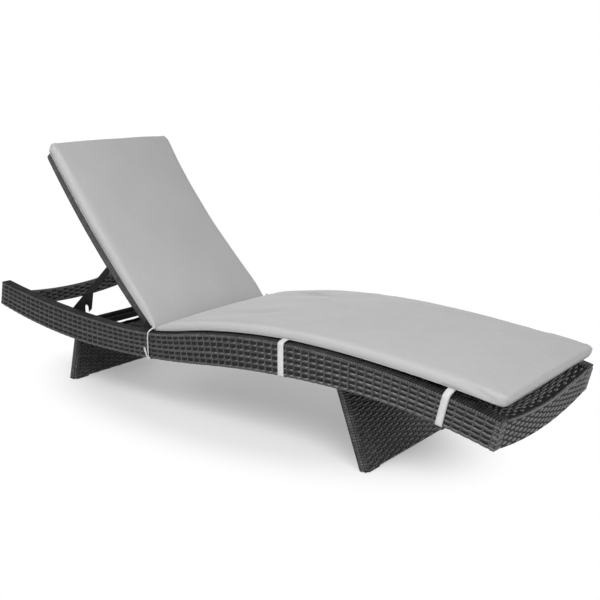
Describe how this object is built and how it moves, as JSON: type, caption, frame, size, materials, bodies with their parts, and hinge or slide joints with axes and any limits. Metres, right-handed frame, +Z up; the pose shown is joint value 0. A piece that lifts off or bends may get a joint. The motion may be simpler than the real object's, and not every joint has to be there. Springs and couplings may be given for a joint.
{
  "type": "sun lounger",
  "caption": "Wave-shaped woven sun lounger with an adjustable propped back, folding leg boards, a long two-part cushion and fabric straps",
  "frame": {"origin": "on the floor, under the middle of the whole lounger", "axes": "+X along the lounger towards the foot end, +Y to the left side of a person lying on it, +Z up"},
  "size_m": [1.956, 0.5546, 0.8131],
  "materials": {
    "wicker": "woven polyethylene strand, charcoal, low sheen",
    "frame_steel": "black powder coat",
    "pin_steel": "plain turned steel",
    "plastic": "moulded nylon",
    "glide_rubber": "moulded rubber foot",
    "cushion_cloth": "light grey woven outdoor cloth",
    "webbing": "pale woven tape"
  },
  "bodies": {
    "frame": {"catch_bar": "frame_steel", "foot_apron": "wicker", "foot_apron_tubes": "frame_steel", "foot_strap_left": "webbing", "foot_strap_right": "webbing", "front_leg_brackets": "frame_steel", "front_leg_pins": "pin_steel", "head_apron": "wicker", "head_apron_tubes": "frame_steel", "hinge_brackets": "frame_steel", "hinge_pins": "pin_steel", "middle_strap_left": "webbing", "middle_strap_right": "webbing", "rail_end_plugs": "plastic", "rail_frame_left": "frame_steel", "rail_frame_right": "frame_steel", "rail_skin_left": "wicker", "rail_skin_right": "wicker", "rear_leg_brackets": "frame_steel", "rear_leg_pins": "pin_steel", "seat_cushion": "cushion_cloth", "seat_tube_1": "frame_steel", "seat_tube_2": "frame_steel", "seat_tube_3": "frame_steel", "seat_tube_4": "frame_steel", "seat_tube_5": "frame_steel", "seat_weave": "wicker", "tie_left": "webbing", "tie_right": "webbing"},
    "back": {"back_cross_tube": "frame_steel", "back_cushion": "cushion_cloth", "back_top_tube": "frame_steel", "back_tube_left": "frame_steel", "back_tube_right": "frame_steel", "back_weave": "wicker", "back_wrap_left": "wicker", "back_wrap_right": "wicker", "hinge_bushes": "plastic", "hinge_tube": "frame_steel", "prop_pins": "pin_steel"},
    "prop": {"prop_arm_left": "frame_steel", "prop_arm_right": "frame_steel", "prop_bushes": "plastic", "prop_tube": "frame_steel"},
    "front_leg": {"front_leg_bushes": "plastic", "front_leg_frame": "frame_steel", "front_leg_glides": "glide_rubber", "front_leg_pivot_tube": "frame_steel", "front_leg_skin": "wicker"},
    "rear_leg": {"rear_leg_bushes": "plastic", "rear_leg_frame": "frame_steel", "rear_leg_glides": "glide_rubber", "rear_leg_pivot_tube": "frame_steel", "rear_leg_skin": "wicker"}
  },
  "joints": [
    {"name": "back_recline", "type": "hinge", "parent": "frame", "child": "back", "pos_m": [-0.203, 0, 0.24528], "axis": [0, 1, 0], "range_deg": [-42.5, 0]},
    {"name": "prop_swing", "type": "hinge", "parent": "back", "child": "prop", "pos_m": [-0.42387, 0, 0.44098], "axis": [0, 1, 0], "range_deg": [0, 89.25]},
    {"name": "front_leg_fold", "type": "hinge", "parent": "frame", "child": "front_leg", "pos_m": [0.47108, 0, 0.271], "axis": [0, 1, 0], "range_deg": [0, 106]},
    {"name": "rear_leg_fold", "type": "hinge", "parent": "frame", "child": "rear_leg", "pos_m": [-0.60567, 0, 0.192], "axis": [0, 1, 0], "range_deg": [-103, 0]}
  ],
  "couplings": [
    {"joint": "prop_swing", "follows": "back_recline", "ratio": -2.1}
  ]
}
